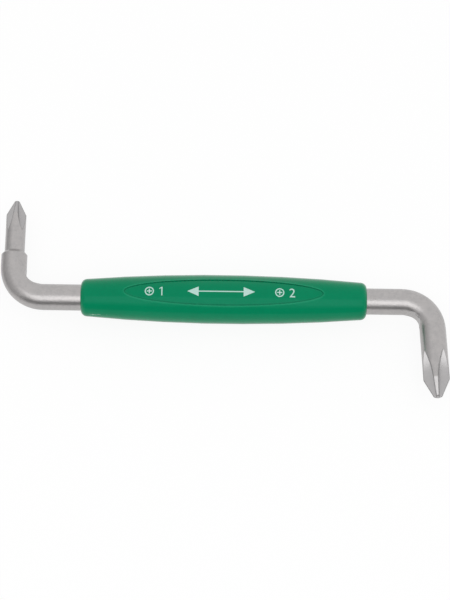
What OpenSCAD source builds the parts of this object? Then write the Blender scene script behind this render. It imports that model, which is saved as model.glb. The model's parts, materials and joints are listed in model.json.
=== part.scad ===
// Double-ended offset screwdriver for cross-recess screws.
// One round steel bar runs through a moulded barrel handle. Each end is bent
// over to the side, opposite ways, and carries a driver point of its own size.
// The tool lies on its handle: +X runs along the bar to the large end, +Z is up.

/* [Bar] */
// Diameter of the steel bar
bar_d = 6; // [5:0.1:7]
// Length of the two flats pressed in the bar where the handle grips it
key_len = 26; // [10:1:40]
// Depth of each pressed flat
key_depth = 0.4; // [0.2:0.1:0.8]

/* [Handle] */
// Length of the handle
handle_len = 65.4; // [55:0.1:72]
// Diameter at the middle of the barrel
handle_mid_d = 11.2; // [10:0.1:14]
// Length over which the middle of the barrel runs straight
handle_mid_len = 9; // [6:0.5:14]
// Diameter that the barrel's curve reaches at each end
handle_end_d = 8.4; // [8.4:0.1:9.8]
// Radius of the rounded edge at each end
handle_edge_r = 1.4; // [0.6:0.1:1.8]

/* [Size panel] */
// Length of the oval recess on top of the handle
panel_len = 45.3; // [30:0.1:50]
// Width of the oval recess
panel_w = 6.2; // [4:0.1:7]
// Depth of the oval recess, the same all over
panel_depth = 0.2; // [0.1:0.05:0.4]

/* [Small end] */
// Length of straight bar from the middle of the handle to the bend
small_straight = 41.3; // [38:0.1:50]
// Reach from the middle of the bar to the tip of the small point
small_reach = 23.7; // [21:0.1:32]
// Angle that the bar turns through, in degrees
small_bend = 90; // [80:1:95]
// Radius of the bend at the middle of the bar
small_bend_r = 7.2; // [6:0.05:8]
// Radius of the nose that the inside of the bend was pressed on
small_nose_r = 2.8; // [2:0.1:3]
// Reach at which the shoulder begins
small_shoulder = 10.1; // [9.5:0.1:12]
// Length of the sloping shoulder
small_slope_len = 0.8; // [0.4:0.1:1.5]
// Diameter of the shank past the shoulder
small_shank_d = 4.6; // [4:0.1:5]
// Turn of the wings about their own arm, in degrees
small_turn = 0; // [-20:1:20]

/* [Large end] */
// Length of straight bar from the middle of the handle to the bend
large_straight = 40.8; // [38:0.1:50]
// Reach from the middle of the bar to the tip of the large point
large_reach = 22.9; // [22:0.1:32]
// Angle that the bar turns through, in degrees
large_bend = 87; // [80:1:95]
// Radius of the bend at the middle of the bar
large_bend_r = 7.0; // [6:0.05:8]
// Radius of the nose that the inside of the bend was pressed on
large_nose_r = 2.4; // [2:0.1:3]
// Turn of the wings about their own arm, in degrees
large_turn = 10; // [-20:1:20]

/* [Driver points] */
// Angle between a point's cone and its axis, in degrees
cone_angle = 26.5; // [24:0.5:30]
// Angle between the two walls of a flute, in degrees
flute_angle = 92; // [90:1:100]
// Diameter of the small point's blunt tip
small_tip_d = 1.27; // [1:0.01:1.5]
// Thickness of the small point's wings at the tip
small_wing_t = 0.52; // [0.4:0.01:0.7]
// Slope of the small point's flute roots, in degrees
small_root_slope = 7; // [5:0.25:9]
// Length over which the small point's flutes run straight
small_flute_len = 3.6; // [3:0.1:5]
// Radius of the wheel that cut the small point's flutes
small_wheel_r = 9; // [7:0.5:16]
// Diameter of the large point's blunt tip
large_tip_d = 2.29; // [2:0.01:2.6]
// Thickness of the large point's wings at the tip
large_wing_t = 0.64; // [0.5:0.01:0.9]
// Slope of the large point's flute roots, in degrees
large_root_slope = 5.75; // [4:0.25:8]
// Length over which the large point's flutes run straight
large_flute_len = 4.5; // [4:0.1:6]
// Radius of the wheel that cut the large point's flutes
large_wheel_r = 13.4; // [10:0.1:20]

/* [Hidden] */
$fn = 96;

// Height of the bar's middle line when the handle lies on a table
axis_h = handle_mid_d / 2;
// Share of the bar's diameter that the nose bites into the inside of a bend
nose_bite_share = 0.02;
// Share of its diameter that the bar loses where a bend draws it out
draw_share = 0.004;
// How far the straight bar laps over each end of a bend, as a share of its diameter
lap_share = 0.01;
// Height of a tip's dome as a share of the tip's diameter
dome_share = 0.24;
// Angle of its rim that the cutting wheel sinks in a shaft, with some to spare, in degrees
wheel_sweep = 60;

// Straight pieces that make up an arc: half a barrel's side, its end edge, a tip's dome, a quarter of the oval
crown_steps = 3;
edge_steps = 8;
dome_steps = 5;
oval_steps = 24;

// How far the straight bar laps over each end of a bend
lap = lap_share * bar_d;
// How far a cut runs past the surface that it opens
overrun = bar_d / 4;

// The barrel's side is an arc through its end diameters and the ends of its straight middle.
// The arc's middle point lies this far beyond the barrel's own middle line.
crown_off = (pow(handle_len, 2) - pow(handle_mid_len, 2) + pow(handle_end_d, 2) - pow(handle_mid_d, 2))
    / (4 * (handle_mid_d - handle_end_d));
crown_r = norm([handle_mid_d / 2 + crown_off, handle_mid_len / 2]);

// The rounded edge touches that arc and the end face
edge_z = handle_len / 2 - handle_edge_r;
edge_lean = asin(edge_z / (crown_r - handle_edge_r));
edge_x = (crown_r - handle_edge_r) * cos(edge_lean) - crown_off;

// Length of the bar's straight line that each bend takes up, on both sides of the corner
small_run = small_bend_r * tan(small_bend / 2);
large_run = large_bend_r * tan(large_bend / 2);

// Radius of the barrel's arc at a place along it, with its surface sunk by a depth
function crown_at(z, depth) = sqrt(pow(crown_r - depth, 2) - pow(z, 2)) - crown_off;

// The barrel's side from the end of its straight middle to a place near its far end
function crown_arc(to, depth) =
    [for (i = [0:crown_steps])
        let (z = handle_mid_len / 2 + (to - handle_mid_len / 2) * i / crown_steps)
        [crown_at(z, depth), z]];

// The rounded edge at the handle's far end, from the side to the end face
function edge_arc() =
    [for (i = [1:edge_steps])
        let (a = edge_lean + (90 - edge_lean) * i / edge_steps)
        [edge_x + handle_edge_r * cos(a), edge_z + handle_edge_r * sin(a)]];

// The same outline for the near end, in the order that closes it
function flipped(points) =
    [for (i = [len(points) - 1:-1:0]) [points[i][0], -points[i][1]]];

// Turns an outline of radius and height about the X axis
module turned_along_x(outline) {
    rotate([0, 90, 0]) rotate_extrude() polygon(outline);
}

module barrel() {
    side_end = edge_z + handle_edge_r * sin(edge_lean);
    turned_along_x(concat(
        [[0, -handle_len / 2]],
        flipped(edge_arc()),
        flipped(crown_arc(side_end, 0)),
        crown_arc(side_end, 0),
        edge_arc(),
        [[0, handle_len / 2]]
    ));
}

// The barrel as it would be with its surface sunk to the floor of the panel
module panel_floor() {
    turned_along_x(concat(
        [[0, -edge_z]],
        flipped(crown_arc(edge_z, panel_depth)),
        crown_arc(edge_z, panel_depth),
        [[0, edge_z]]
    ));
}

module panel_oval() {
    linear_extrude(height = handle_mid_d)
        polygon([for (i = [0:4 * oval_steps - 1])
            let (a = 90 * i / oval_steps)
            [panel_len / 2 * cos(a), panel_w / 2 * sin(a)]]);
}

// The two flats that key the bar to the handle
module key_flats() {
    for (side = [0, 180])
        rotate([0, 0, side])
            translate([-key_len / 2, bar_d / 2 - key_depth, -bar_d / 2])
                cube([key_len, key_depth + overrun, bar_d]);
}

// The space that the bar takes up in the handle
module bar_space() {
    difference() {
        rotate([0, 90, 0]) cylinder(d = bar_d, h = handle_len + 2 * overrun, center = true);
        key_flats();
    }
}

// A bend at the end of a straight run, with an arm as the child, standing up from where it ends.
// The inside of the bend is flattened where it was pressed on a round nose.
module bent_end(straight, bend, bend_r, run, nose_r) {
    nose_off = bar_d / 2 + nose_r - nose_bite_share * bar_d;
    difference() {
        translate([-straight, bend_r, 0])
            rotate([0, 0, -90 - bend])
                rotate_extrude(angle = bend)
                    translate([bend_r, 0]) circle(d = bar_d * (1 - draw_share));
        translate([-straight - run, 0, 0])
            rotate([0, 0, 90 - bend / 2])
                translate([nose_off / cos(bend / 2), 0, 0])
                    cylinder(r = nose_r, h = bar_d, center = true);
    }
    translate([-straight, bend_r, 0])
        rotate([0, 0, -90 - bend])
            translate([bend_r, 0, 0]) rotate([90, 0, 0]) children();
}

// One flute, its root running back and outwards from the tip and then lifting out with the wheel
module flute(shaft_d, wing_t, root_slope, straight_len, wheel_r) {
    half_w = shaft_d * tan(flute_angle / 2);
    translate([wing_t / sqrt(2), 0, 0])
        rotate([0, -root_slope, 0]) {
            translate([0, 0, -straight_len])
                linear_extrude(height = straight_len + overrun)
                    polygon([[0, 0], [shaft_d, half_w], [shaft_d, -half_w]]);
            translate([wheel_r, 0, -straight_len])
                rotate([-90, 0, 180])
                    rotate_extrude(angle = wheel_sweep)
                        polygon([[wheel_r, 0], [wheel_r - shaft_d, half_w], [wheel_r - shaft_d, -half_w]]);
        }
}

// A shaft from a base to a tip, coned and domed, with four flutes that leave four wings
module driver_point(shaft_d, base, tip, tip_d, wing_t, root_slope, straight_len, wheel_r, turn) {
    dome_h = dome_share * tip_d;
    cone_end = tip - dome_h;
    cone_start = cone_end - (shaft_d - tip_d) / 2 / tan(cone_angle);
    difference() {
        rotate_extrude()
            polygon(concat(
                [[0, base], [shaft_d / 2, base], [shaft_d / 2, cone_start]],
                [for (i = [0:dome_steps])
                    let (a = 90 * i / dome_steps)
                    [tip_d / 2 * cos(a), cone_end + dome_h * sin(a)]]
            ));
        for (quarter = [0:90:270])
            rotate([0, 0, 45 + quarter + turn])
                translate([0, 0, cone_end])
                    flute(shaft_d, wing_t, root_slope, straight_len, wheel_r);
    }
}

module small_arm() {
    shoulder = small_shoulder - small_run;
    translate([0, 0, -lap])
        cylinder(d = bar_d, h = shoulder + lap);
    translate([0, 0, shoulder])
        cylinder(d1 = bar_d, d2 = small_shank_d, h = small_slope_len);
    driver_point(small_shank_d, shoulder + small_slope_len, small_reach - small_run,
                 small_tip_d, small_wing_t, small_root_slope, small_flute_len, small_wheel_r, small_turn);
}

module large_arm() {
    driver_point(bar_d, -lap, large_reach - large_run,
                 large_tip_d, large_wing_t, large_root_slope, large_flute_len, large_wheel_r, large_turn);
}

module blade() {
    color([0.68, 0.68, 0.68])
        translate([0, 0, axis_h])
            difference() {
                union() {
                    translate([-small_straight - lap, 0, 0])
                        rotate([0, 90, 0])
                            cylinder(d = bar_d, h = small_straight + large_straight + 2 * lap);
                    bent_end(small_straight, small_bend, small_bend_r, small_run, small_nose_r)
                        small_arm();
                    rotate([0, 0, 180])
                        bent_end(large_straight, large_bend, large_bend_r, large_run, large_nose_r)
                            large_arm();
                }
                key_flats();
            }
}

module handle() {
    color([0.03, 0.49, 0.34])
        translate([0, 0, axis_h])
            difference() {
                union() {
                    difference() {
                        barrel();
                        panel_oval();
                    }
                    panel_floor();
                }
                bar_space();
            }
}

blade();
handle();
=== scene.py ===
"""The looks of a double-ended offset screwdriver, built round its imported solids."""
import json
import math

import bmesh
import bpy
from mathutils import Matrix, Vector
from mathutils.bvhtree import BVHTree


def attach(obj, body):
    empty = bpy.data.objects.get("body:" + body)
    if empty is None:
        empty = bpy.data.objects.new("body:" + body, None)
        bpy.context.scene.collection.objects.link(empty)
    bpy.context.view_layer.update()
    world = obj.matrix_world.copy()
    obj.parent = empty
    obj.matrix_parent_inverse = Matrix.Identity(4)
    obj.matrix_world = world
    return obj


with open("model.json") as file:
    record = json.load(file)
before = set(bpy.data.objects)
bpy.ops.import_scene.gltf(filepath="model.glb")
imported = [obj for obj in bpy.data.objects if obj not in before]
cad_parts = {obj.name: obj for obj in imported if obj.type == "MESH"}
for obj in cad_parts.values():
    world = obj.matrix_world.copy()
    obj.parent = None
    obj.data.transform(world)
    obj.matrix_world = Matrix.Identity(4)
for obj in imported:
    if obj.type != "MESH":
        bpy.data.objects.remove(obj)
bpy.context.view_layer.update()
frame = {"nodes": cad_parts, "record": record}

MM = 0.001

handle = frame["nodes"]["handle"]
blade = frame["nodes"]["blade"]
mounts = {m["name"]: m for m in frame["record"]["mounts"]}

# Height of the bar's middle line
axis_z = mounts["small_side_bar"]["pos_m"][2]


# Small helpers for shader nodes

class Nodes:
    """Adds nodes to one node tree, each wired to what it is given."""

    def __init__(self, tree):
        self.tree = tree
        tree.nodes.clear()

    def add(self, kind, inputs=None, **settings):
        node = self.tree.nodes.new(kind)
        for name, value in settings.items():
            setattr(node, name, value)
        for name, value in (inputs or {}).items():
            self.feed(node.inputs[name], value)
        return node

    def feed(self, socket, value):
        """Links a socket to another one, or sets it to a value."""
        if isinstance(value, bpy.types.NodeSocket):
            self.tree.links.new(value, socket)
        else:
            socket.default_value = value

    def place(self):
        """Where a point lies on the tool."""
        return self.add("ShaderNodeTexCoord").outputs["Object"]

    def part(self, vector, axis):
        """One of a vector's three numbers."""
        return self.add("ShaderNodeSeparateXYZ", {0: vector}).outputs[axis]

    def math(self, operation, a, b=None, c=None):
        """A Math node; a, b and c are numbers or sockets."""
        given = {i: v for i, v in enumerate((a, b, c)) if v is not None}
        return self.add("ShaderNodeMath", given, operation=operation).outputs[0]

    def times(self, a, b):
        return self.math("MULTIPLY", a, b)

    def higher(self, a, b):
        """The larger of two numbers; the first may be None."""
        return b if a is None else self.math("MAXIMUM", a, b)

    def raised(self, value, share, base):
        """A base plus a share of a value."""
        return self.math("MULTIPLY_ADD", value, share, base)

    def vector_math(self, operation, a, b=None):
        """A Vector Math node that gives a vector, or a number for DOT_PRODUCT and LENGTH."""
        given = {i: v for i, v in enumerate((a, b)) if v is not None}
        node = self.add("ShaderNodeVectorMath", given, operation=operation)
        return node.outputs["Value" if operation in ("DOT_PRODUCT", "LENGTH") else "Vector"]

    def step(self, value, low, high, to_low=0.0, to_high=1.0):
        """A smooth step from low to high."""
        given = {
            "Value": value,
            "From Min": low,
            "From Max": high,
            "To Min": to_low,
            "To Max": to_high,
        }
        node = self.add("ShaderNodeMapRange", given, interpolation_type="SMOOTHSTEP")
        return node.outputs["Result"]

    def noise(self, place, size, detail=2.0, roughness=0.5):
        """Noise whose lumps are about size across, from 0 to 1."""
        given = {"Vector": place, "Scale": 1.0 / size, "Detail": detail, "Roughness": roughness}
        return self.add("ShaderNodeTexNoise", given).outputs["Fac"]

    def blend(self, share, a, b):
        """A colour between a and b."""
        node = self.add("ShaderNodeMix", data_type="RGBA")
        for index, value in ((0, share), (6, a), (7, b)):
            self.feed(node.inputs[index], value)
        return node.outputs[2]

    def rounded(self, radius, samples):
        """The way the surface faces, with its edges rounded."""
        return self.add("ShaderNodeBevel", {"Radius": radius}, samples=samples).outputs[0]

    def turned(self, rounded):
        """How far a rounded edge turns the surface: 0 on a plain face."""
        flat = self.add("ShaderNodeNewGeometry").outputs["Normal"]
        return self.math("SUBTRACT", 1.0, self.vector_math("DOT_PRODUCT", rounded, flat))

    def bumped(self, height, depth, strength, rounded):
        """The way a rounded surface faces once a height is pressed in it."""
        given = {"Strength": strength, "Distance": depth, "Height": height, "Normal": rounded}
        return self.add("ShaderNodeBump", given).outputs[0]


def new_material(name):
    """An empty material and the maker of its nodes."""
    material = bpy.data.materials.new(name)
    material.use_nodes = True
    return material, Nodes(material.node_tree)


def finish_with(nodes, shader):
    nodes.add("ShaderNodeOutputMaterial", {"Surface": shader.outputs[0]})


def dress(piece, material):
    piece.data.materials.clear()
    piece.data.materials.append(material)


# Steel

PLATE_DULL = (0.420, 0.406, 0.402, 1)
PLATE_BRIGHT = (0.515, 0.492, 0.486, 1)
BLOTCH_TONE = (0.385, 0.375, 0.375, 1)
DIMPLE_TONE = (0.36, 0.35, 0.35, 1)
MILLED_TONE = (0.42, 0.415, 0.418, 1)
# The dark tone of real dents, also used for the painted shade along edges and in the bend's
# crease
DENT_AND_SHADE_TONE = (0.10, 0.10, 0.10, 1)

GRAIN = 0.16 * MM
DIMPLE = 0.45 * MM
BLOTCH = 0.9 * MM
STEEL_CLOUD = 2.2 * MM
STEEL_EDGE = 0.30 * MM

STEEL_ROUGH = 0.25
STEEL_ROUGH_SPREAD = 0.08
PRESSED_ROUGH = 0.2

STEEL_BUMP = 0.02 * MM
STEEL_BUMP_STRENGTH = 0.6
# How deep the dimples are beside the grain, and how much of both the cutter took away
DIMPLE_DEPTH = 2.4
MILLED_AWAY = 0.7

# How strongly each mark shows, from 0 to 1
BLOTCH_SHARE = 0.5
DIMPLE_SHARE = 0.35
MILLED_SHARE = 0.6
EDGE_SHADE_SHARE = 0.62
MARK_SHARE = 0.75


def satin_chrome():
    """Blasted and plated steel, smoother where the flutes were milled."""
    material, n = new_material("satin_chrome")
    place = n.place()
    grain = n.noise(place, GRAIN)
    dimples = n.noise(place, DIMPLE, roughness=0.6)
    cloud = n.noise(place, STEEL_CLOUD, detail=3.0)
    blotches = n.step(n.noise(place, BLOTCH, detail=3.0, roughness=0.65), 0.42, 0.68)
    milled = flute_share(n, place)
    dented = n.times(dents(n, place), n.math("SUBTRACT", 1.0, milled))
    # Rougher steel where the press nose bit, darkened with painted shade of the crease
    pressed = nose_mark_and_crease_shade(n, place)

    rough = n.raised(cloud, STEEL_ROUGH_SPREAD, STEEL_ROUGH)
    rough = n.raised(pressed, PRESSED_ROUGH, rough)

    tone = n.blend(cloud, PLATE_DULL, PLATE_BRIGHT)
    tone = n.blend(n.times(blotches, BLOTCH_SHARE), tone, BLOTCH_TONE)
    tone = n.blend(n.times(dimples, DIMPLE_SHARE), tone, DIMPLE_TONE)
    tone = n.blend(n.times(milled, MILLED_SHARE), tone, MILLED_TONE)
    # Blasting and plating leave every edge a little round, and a painted shade darkens the tone
    # along every edge
    rounded = n.rounded(STEEL_EDGE, samples=8)
    # Painted shade along every edge
    rim = n.times(n.step(n.turned(rounded), 0.006, 0.12), EDGE_SHADE_SHARE)
    # Real dents, the painted edge shade and the painted crease shade all darken the tone
    dark_marks_and_shade = n.higher(rim, n.higher(dented, pressed))
    tone = n.blend(n.times(dark_marks_and_shade, MARK_SHARE), tone, DENT_AND_SHADE_TONE)

    height = n.raised(dimples, DIMPLE_DEPTH, grain)
    height = n.times(height, n.raised(milled, -MILLED_AWAY, 1.0))
    shader = n.add(
        "ShaderNodeBsdfPrincipled",
        {
            "Base Color": tone,
            "Metallic": 1.0,
            "Roughness": rough,
            "Normal": n.bumped(height, STEEL_BUMP, STEEL_BUMP_STRENGTH, rounded),
        },
    )
    finish_with(n, shader)
    return material


DENT_GAP = 3.0 * MM
DENT_RAGGED = 0.12 * MM
# A dent's flat middle and its rim, as shares of the gap between dents
DENT_MIDDLE = 0.055
DENT_RIM = 0.095
DENT_DARKNESS = 0.45
# Only the cells whose random number is above this have a dent
DENT_CHANCE = 0.70


def dents(n, place):
    """A few tiny ragged dents, scattered 3 mm and more from one another."""
    cells = n.add("ShaderNodeTexVoronoi", {"Vector": place, "Scale": 1 / DENT_GAP})
    ragged = n.raised(n.noise(place, DENT_RAGGED), 0.08, cells.outputs["Distance"])
    small = n.step(ragged, DENT_MIDDLE, DENT_RIM, DENT_DARKNESS, 0.0)
    chance = n.add("ShaderNodeSeparateColor", {0: cells.outputs["Color"]}).outputs[0]
    return n.times(small, n.step(chance, DENT_CHANCE, DENT_CHANCE + 0.02))


# Where the press nose left its mark on the inside of the bend at the larger point; the mark is
# rougher steel, and its darkness is painted shade in the bend's crease
NOSE_MARK = (44.6 * MM, -3.5 * MM, 7.0 * MM)
NOSE_MARK_REACH = 1.15 * MM
NOSE_MARK_RAGGED = 0.3 * MM


def nose_mark_and_crease_shade(n, place):
    """A small ragged dark mark: painted shade in the crease of the bend."""
    gap = n.vector_math("LENGTH", n.vector_math("SUBTRACT", place, NOSE_MARK))
    close = n.step(gap, NOSE_MARK_REACH / 2, NOSE_MARK_REACH, 1.0, 0.0)
    ragged = n.noise(place, NOSE_MARK_RAGGED, detail=3.0)
    return n.times(close, n.step(ragged, 0.42, 0.55))


# How far below a shaft's round the steel counts as milled, at least and in full
MILLED_FROM = 0.01 * MM
MILLED_FULL = 0.06 * MM
# Along the shaft, the flutes fade in over this length
FLUTE_FADE = 1.0 * MM


def flute_share(n, place):
    """1 inside the round of a shaft, where only flutes and cones are, and 0 elsewhere."""
    found = None
    for name in ("small_shank", "large_shank"):
        mount = mounts[name]
        along = tuple(mount["axis"])
        radius = mount["dims"]["r_mm"] * MM
        offset = n.vector_math("SUBTRACT", place, tuple(mount["pos_m"]))
        run = n.vector_math("DOT_PRODUCT", offset, along)
        middle = n.add("ShaderNodeVectorMath", {0: along, "Scale": run}, operation="SCALE")
        out = n.vector_math("LENGTH", n.vector_math("SUBTRACT", offset, middle.outputs["Vector"]))
        inside = n.step(out, radius - MILLED_FULL, radius - MILLED_FROM, 1.0, 0.0)
        past = n.step(run, 0.0, FLUTE_FADE)
        found = n.higher(found, n.times(inside, past))
    return found


# Handle plastic

GREEN_DARK = (0.0, 0.182, 0.078, 1)
GREEN_PALE = (0.0, 0.220, 0.095, 1)
# Painted shade in the corners
SHADED_CORNER_GREEN = (0.0, 0.160, 0.068, 1)
# Painted highlight along the rounded edges
EDGE_HIGHLIGHT_GREEN = (0.012, 0.262, 0.125, 1)
SCUFF_TONE = (0.36, 0.58, 0.45, 1)
PLASTIC_GLOSS = (0.20, 0.42, 0.44, 1)
PLASTIC_IOR = 1.42

GREEN_CLOUD = 6.0 * MM
MOTTLE = 1.1 * MM
ORANGE_PEEL = 0.5 * MM
CORNER_REACH = 0.35 * MM
MOULDED_EDGE = 0.22 * MM
EDGE_HIGHLIGHT_REACH = 0.70 * MM
SEAM_HALF_WIDTH = 0.07 * MM

PLASTIC_ROUGH = 0.11
PLASTIC_ROUGH_SPREAD = 0.05
SCUFF_ROUGH = 0.4

PLASTIC_BUMP = 0.01 * MM
PLASTIC_BUMP_STRENGTH = 0.2
# How high the seam stands beside the orange peel
SEAM_HEIGHT = 3.0


def moulded_green():
    """Green handle plastic with a soft sheen, a parting line and a few scuffs."""
    material, n = new_material("moulded_green")
    place = n.place()
    cloud = n.noise(place, GREEN_CLOUD, detail=3.0)
    mottle = n.noise(place, MOTTLE)
    orange_peel = n.noise(place, ORANGE_PEEL)
    scuffed = scuffs(n, place)

    # Shade is painted darker into the corners, and a highlight is painted paler along the rounded
    # edges
    corner_shade = n.add("ShaderNodeAmbientOcclusion", {"Distance": CORNER_REACH}, samples=8)
    is_open = corner_shade.outputs["AO"]
    turned = n.turned(n.rounded(EDGE_HIGHLIGHT_REACH, samples=8))
    # Where the painted edge highlight goes: on convex edges, not in corners
    edge_highlight = n.times(n.step(turned, 0.002, 0.012), n.step(is_open, 0.88, 0.99))
    tone = n.blend(n.raised(mottle, 0.5, n.times(cloud, 0.5)), GREEN_DARK, GREEN_PALE)
    # Painted shade in the corners and along the recess walls
    tone = n.blend(is_open, SHADED_CORNER_GREEN, tone)
    # A painted highlight along the recess lip and the end edges
    tone = n.blend(edge_highlight, tone, EDGE_HIGHLIGHT_GREEN)
    tone = n.blend(scuffed, tone, SCUFF_TONE)

    rough = n.raised(cloud, PLASTIC_ROUGH_SPREAD, PLASTIC_ROUGH)
    rough = n.raised(scuffed, SCUFF_ROUGH, rough)

    from_middle = n.math("ABSOLUTE", n.math("SUBTRACT", n.part(place, "Z"), axis_z))
    seam = n.step(from_middle, 0.0, SEAM_HALF_WIDTH, 1.0, 0.0)
    height = n.raised(seam, SEAM_HEIGHT, orange_peel)
    rounded = n.rounded(MOULDED_EDGE, samples=6)
    shader = n.add(
        "ShaderNodeBsdfPrincipled",
        {
            "Base Color": tone,
            "Roughness": rough,
            "IOR": PLASTIC_IOR,
            "Specular Tint": PLASTIC_GLOSS,
            "Normal": n.bumped(height, PLASTIC_BUMP, PLASTIC_BUMP_STRENGTH, rounded),
        },
    )
    finish_with(n, shader)
    return material


# Small pale scuffs low on the front near the smaller point's end: middle and half length
SCUFFS = (
    ((-29.3 * MM, -4.36 * MM, 6.45 * MM), 1.3 * MM),
    ((-26.3 * MM, -4.54 * MM, 6.6 * MM), 0.4 * MM),
)
SCUFF_HALF_WIDTH = 0.25 * MM
SCUFF_RAGGED = 0.4 * MM
# A scuff is full up to here from its middle line, and gone beyond the second
SCUFF_FULL = 0.20 * MM
SCUFF_GONE = 0.32 * MM


def scuffs(n, place):
    """Short broken pale streaks along the handle."""
    streaked = n.vector_math("MULTIPLY", place, (0.6, 1.0, 1.6))
    broken = n.step(n.noise(streaked, SCUFF_RAGGED), 0.50, 0.60)
    found = None
    for middle, half_len in SCUFFS:
        offset = n.vector_math("SUBTRACT", place, middle)
        squeezed = n.vector_math("MULTIPLY", offset, (SCUFF_HALF_WIDTH / half_len, 1.0, 1.0))
        share = n.step(n.vector_math("LENGTH", squeezed), SCUFF_FULL, SCUFF_GONE, 1.0, 0.0)
        found = n.higher(found, share)
    return n.times(found, broken)


# Ink and table

INK_DULL = (0.38, 0.60, 0.54, 1)
INK_BRIGHT = (0.50, 0.69, 0.63, 1)
INK_WEAR = 0.4 * MM
INK_ROUGH = 0.5


def pale_ink():
    """Whitish printing ink, a little worn."""
    material, n = new_material("pale_ink")
    wear = n.noise(n.place(), INK_WEAR, detail=3.0)
    tone = n.blend(wear, INK_DULL, INK_BRIGHT)
    ink_look = {"Base Color": tone, "Roughness": INK_ROUGH}
    finish_with(n, n.add("ShaderNodeBsdfPrincipled", ink_look))
    return material


PAPER_DULL = (0.90, 0.90, 0.90, 1)
PAPER_BRIGHT = (0.93, 0.93, 0.93, 1)
PAPER_CLOUD = 60 * MM
# The share of plain white in what the camera and the steel see of the table; the rest is lit
WHITE_IN_VIEW = 0.90
WHITE_IN_MIRROR = 0.6
# Beyond the tool's left end the steel mirrors a dimmer part of the table
DIM_FROM_X = -52 * MM
DIM_FULL_X = -100 * MM
DIM_LEVEL = 0.15


def table_white():
    """A white table that keeps a faint shadow."""
    material, n = new_material("table_white")
    place = n.place()
    tone = n.blend(n.noise(place, PAPER_CLOUD), PAPER_DULL, PAPER_BRIGHT)
    matte = n.add("ShaderNodeBsdfDiffuse", {"Color": tone})
    path = n.add("ShaderNodeLightPath")
    in_view = path.outputs["Is Camera Ray"]
    in_mirror = n.higher(path.outputs["Is Glossy Ray"], path.outputs["Is Transmission Ray"])
    lit = n.step(n.part(place, "X"), DIM_FULL_X, DIM_FROM_X, DIM_LEVEL, 1.0)
    strength = n.higher(in_view, lit)
    glow = n.add("ShaderNodeEmission", {"Color": (1, 1, 1, 1), "Strength": strength})
    share = n.raised(in_view, WHITE_IN_VIEW, n.times(in_mirror, WHITE_IN_MIRROR))
    both = {0: share, 1: matte.outputs[0], 2: glow.outputs[0]}
    finish_with(n, n.add("ShaderNodeMixShader", both))
    return material


# Printing in the oval recess

INK_THICK = 0.02 * MM
INK_SINK = 0.004 * MM
STROKE = 0.26 * MM
SIZE_MARK_H = 2.1 * MM
SMALL_MARK_X = -15.6 * MM
LARGE_MARK_X = 14.0 * MM
ARROW_X = -0.6 * MM
ARROW_LEN = 15.4 * MM
ARROW_HEAD_W = 2.3 * MM
ARROW_HEAD_LEN = 2.6 * MM
# From the middle of a size mark to its sign and to its number
SIGN_OFF = 1.30 * MM
NUMBER_OFF = 1.55 * MM
CROSS_SHARE = 0.55
RING_CORNERS = 40
# The flag of the numeral 1
FLAG_LEN = 0.45 * MM
FLAG_DROP = 0.75 * FLAG_LEN
FLAG_START = 0.2 * STROKE
FLAG_FOOT = 1.2 * STROKE
# Width of the stripes in which print follows the curved recess
STRIPE = 0.25 * MM
# Two corners that are closer than this are one, in metres and in the built-in face's own unit
SAME_SPOT = 1e-7
SAME_FONT_SPOT = 1e-5
# A height above everything, in metres
HIGH_UP = 1.0


def surface_of(piece):
    """A finder of points on a CAD node's surface."""
    bm = bmesh.new()
    bm.from_mesh(piece.data)
    tree = BVHTree.FromBMesh(bm)
    bm.free()
    return tree


handle_surface = surface_of(handle)


def height_at(x, y):
    """How high the handle's top surface lies at a place."""
    hit = handle_surface.ray_cast(Vector((x, y, HIGH_UP)), Vector((0, 0, -1)))
    return hit[0].z


def everything_in(bm):
    return bm.verts[:] + bm.edges[:] + bm.faces[:]


def cut_in_stripes(bm, step):
    """Cuts a flat shape along both axes, so that it can follow a curved surface."""
    for axis in (0, 1):
        spots = [v.co[axis] for v in bm.verts]
        first = math.ceil(min(spots) / step)
        last = math.floor(max(spots) / step)
        normal = Vector((0, 0, 0))
        normal[axis] = 1.0
        for i in range(first, last + 1):
            point = Vector((0, 0, 0))
            point[axis] = i * step
            bmesh.ops.bisect_plane(
                bm, geom=everything_in(bm), plane_co=point, plane_no=normal, dist=SAME_SPOT
            )


def lay_on_panel(bm):
    """Gives a flat shape its ink thickness and lays it on the handle."""
    bmesh.ops.triangulate(bm, faces=bm.faces[:])
    cut_in_stripes(bm, STRIPE)
    bm.normal_update()
    for face in bm.faces:
        if face.normal.z > 0:
            face.normal_flip()
    grown = bmesh.ops.extrude_face_region(bm, geom=bm.faces[:], use_keep_orig=True)["geom"]
    top = {g for g in grown if isinstance(g, bmesh.types.BMVert)}
    for v in bm.verts:
        rise = INK_THICK - INK_SINK if v in top else -INK_SINK
        v.co.z = height_at(v.co.x, v.co.y) + rise
    bmesh.ops.recalc_face_normals(bm, faces=bm.faces[:])


def new_piece(bm, name, material):
    """Makes a finished shape an object of the scene."""
    mesh = bpy.data.meshes.new(name)
    bm.to_mesh(mesh)
    bm.free()
    piece = bpy.data.objects.new(name, mesh)
    bpy.context.scene.collection.objects.link(piece)
    dress(piece, material)
    return piece


def print_on_handle(bm, name):
    """Makes a flat shape a piece of print in the recess."""
    lay_on_panel(bm)
    piece = new_piece(bm, name, ink)
    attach(piece, "root")


def move(bm, way):
    bmesh.ops.translate(bm, verts=bm.verts[:], vec=way)


def ring(centre_x, across):
    """A thin flat ring."""
    bm = bmesh.new()
    for radius in (across / 2, across / 2 - STROKE):
        bmesh.ops.create_circle(bm, cap_ends=False, segments=RING_CORNERS, radius=radius)
    bmesh.ops.bridge_loops(bm, edges=bm.edges[:])
    move(bm, (centre_x, 0, 0))
    return bm


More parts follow.
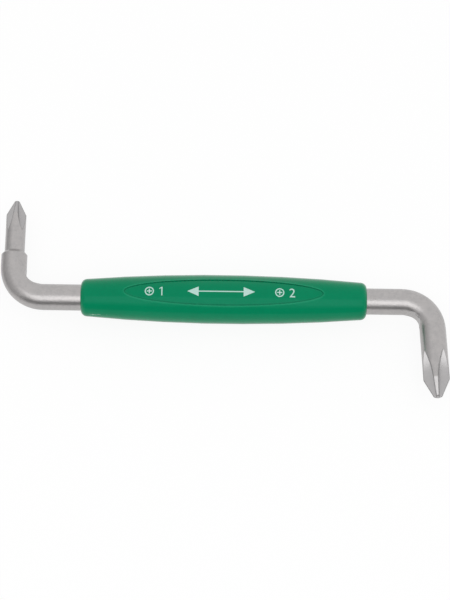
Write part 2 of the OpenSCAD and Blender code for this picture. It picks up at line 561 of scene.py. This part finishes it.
def cross(centre_x, across):
    """A flat cross with four equal arms."""
    bm = bmesh.new()
    bmesh.ops.create_grid(bm, x_segments=1, y_segments=1, size=STROKE / 2)
    for edge in bm.edges[:]:
        middle = (edge.verts[0].co + edge.verts[1].co) / 2
        arm = bmesh.ops.extrude_edge_only(bm, edges=[edge])["geom"]
        tips = [g for g in arm if isinstance(g, bmesh.types.BMVert)]
        reach = middle.normalized() * (across - STROKE) / 2
        bmesh.ops.translate(bm, verts=tips, vec=reach)
    move(bm, (centre_x, 0, 0))
    return bm


def figure_one(centre_x, height):
    """The numeral 1: an upright stroke with a flag."""
    bm = bmesh.new()
    top, right = height / 2, STROKE / 2
    corners = (
        (right, top),
        (-FLAG_START, top),
        (-right - FLAG_LEN, top - FLAG_DROP),
        (-right - FLAG_LEN, top - FLAG_DROP - STROKE),
        (-right, top - FLAG_FOOT),
        (-right, -top),
        (right, -top),
    )
    bm.faces.new([bm.verts.new((x, y, 0)) for x, y in corners])
    move(bm, (centre_x, 0, 0))
    return bm


def figure_two(centre_x, height):
    """The numeral 2, in the plain built-in face."""
    curve = bpy.data.curves.new("numeral_outline", "FONT")
    curve.body = "2"
    curve.align_x = "CENTER"
    curve.resolution_u = 8
    holder = bpy.data.objects.new("numeral_outline", curve)
    bpy.context.scene.collection.objects.link(holder)
    bpy.context.view_layer.update()
    shape = bpy.data.meshes.new_from_object(holder)
    bm = bmesh.new()
    bm.from_mesh(shape)
    bpy.data.objects.remove(holder)
    bpy.data.curves.remove(curve)
    bpy.data.meshes.remove(shape)
    bmesh.ops.remove_doubles(bm, verts=bm.verts[:], dist=SAME_FONT_SPOT)
    xs = [v.co.x for v in bm.verts]
    ys = [v.co.y for v in bm.verts]
    scale = height / (max(ys) - min(ys))
    move(bm, (-(max(xs) + min(xs)) / 2, -(max(ys) + min(ys)) / 2, 0))
    bmesh.ops.scale(bm, verts=bm.verts[:], vec=(scale, scale, scale))
    move(bm, (centre_x, 0, 0))
    return bm


def two_way_arrow(centre_x):
    """A plain arrow that points both ways: a quarter of it, mirrored twice."""
    bm = bmesh.new()
    half = ARROW_LEN / 2
    neck = half - ARROW_HEAD_LEN
    corners = (
        (0, 0),
        (half, 0),
        (neck, ARROW_HEAD_W / 2),
        (neck, STROKE / 2),
        (0, STROKE / 2),
    )
    bm.faces.new([bm.verts.new((x, y, 0)) for x, y in corners])
    for axis in ("Y", "X"):
        bmesh.ops.mirror(bm, geom=everything_in(bm), axis=axis, merge_dist=SAME_SPOT)
    move(bm, (centre_x, 0, 0))
    return bm


def print_size(figure, centre_x, name):
    """The sign of a cross recess, with the figure of its size beside it."""
    print_on_handle(ring(centre_x - SIGN_OFF, SIZE_MARK_H), name + "_ring")
    print_on_handle(cross(centre_x - SIGN_OFF, SIZE_MARK_H * CROSS_SHARE), name + "_cross")
    print_on_handle(figure(centre_x + NUMBER_OFF, SIZE_MARK_H), name + "_number")


def in_front(elevation):
    """The way from the tool to a place in front of it, at a height given in degrees."""
    lift = math.radians(elevation)
    return Vector((0, -math.cos(lift), math.sin(lift)))


# Camera

# The photograph is taken from well above the front of the tool, from arm's length
CAMERA_ELEVATION = 70.0
CAMERA_DISTANCE = 0.450
CAMERA_ROLL = 0.8
PIXELS_PER_METRE = 4360
IMAGE_W = 450
SENSOR_W = 36.0
# What the middle of the picture shows, beside the middle of the handle
AIM_X = 0.30 * MM
AIM_UP = -0.10 * MM


def set_camera():
    data = bpy.data.cameras.new("camera")
    data.sensor_fit = "HORIZONTAL"
    data.sensor_width = SENSOR_W
    data.lens = PIXELS_PER_METRE * CAMERA_DISTANCE * SENSOR_W / IMAGE_W
    camera = bpy.data.objects.new("camera", data)
    bpy.context.scene.collection.objects.link(camera)
    back = in_front(CAMERA_ELEVATION)
    up = Vector((0, back.z, -back.y))
    aim = Vector((AIM_X, 0, axis_z)) + up * AIM_UP
    roll = Matrix.Rotation(math.radians(CAMERA_ROLL), 3, "Z")
    turn = back.to_track_quat("Z", "Y").to_matrix() @ roll
    camera.matrix_world = Matrix.Translation(aim + back * CAMERA_DISTANCE) @ turn.to_4x4()
    bpy.context.scene.camera = camera


# Light and table

def softbox(name, elevation, distance, width, height, radiance):
    """A soft lamp of a given brightness in front of the tool, aimed at it."""
    data = bpy.data.lights.new(name, "AREA")
    data.shape = "RECTANGLE"
    data.size = width
    data.size_y = height
    data.energy = radiance * math.pi * width * height
    lamp = bpy.data.objects.new(name, data)
    bpy.context.scene.collection.objects.link(lamp)
    way = in_front(elevation)
    lamp.location = way * distance
    lamp.rotation_euler = way.to_track_quat("Z", "Y").to_euler()
    return lamp


ROOM_LEVEL = 0.98
ROOM_DARK = 0.28
LEFT_SHARE = 0.5


def set_room():
    """A studio that is pale behind and above, and darker low in front and on the left."""
    world = bpy.data.worlds.new("studio")
    bpy.context.scene.world = world
    world.use_nodes = True
    n = Nodes(world.node_tree)
    way = n.add("ShaderNodeTexCoord").outputs["Generated"]
    front = n.step(n.part(way, "Y"), -0.45, -0.80)
    low = n.step(n.part(way, "Z"), 0.62, 0.42)
    left = n.step(n.part(way, "X"), -0.30, -0.95)
    dark = n.higher(n.times(front, low), n.times(left, LEFT_SHARE))
    level = n.step(dark, 0.0, 1.0, ROOM_LEVEL, ROOM_DARK)
    tone = n.add("ShaderNodeCombineColor", {"Red": level, "Green": level, "Blue": level})
    background = n.add("ShaderNodeBackground", {"Color": tone.outputs[0], "Strength": 1.0})
    n.add("ShaderNodeOutputWorld", {"Surface": background.outputs[0]})


TABLE_SIZE = 8.0


def set_table():
    bm = bmesh.new()
    bmesh.ops.create_grid(bm, x_segments=8, y_segments=8, size=TABLE_SIZE / 2)
    new_piece(bm, "table", table_white())


def set_lamps():
    softbox("front_softbox", 62, distance=0.8, width=0.8, height=0.5, radiance=0.90)
    # Nothing mirrors the low one, so the steel keeps the dark room in its lower part
    fill = softbox("low_fill", 12, distance=0.8, width=0.9, height=0.3, radiance=0.95)
    fill.visible_glossy = False


# The finished tool

dress(blade, satin_chrome())
dress(handle, moulded_green())

ink = pale_ink()
print_size(figure_one, SMALL_MARK_X, "small_end")
print_size(figure_two, LARGE_MARK_X, "large_end")
print_on_handle(two_way_arrow(ARROW_X), "arrow")

set_camera()
set_room()
set_table()
set_lamps()

bpy.context.scene.view_settings.view_transform = "Standard"
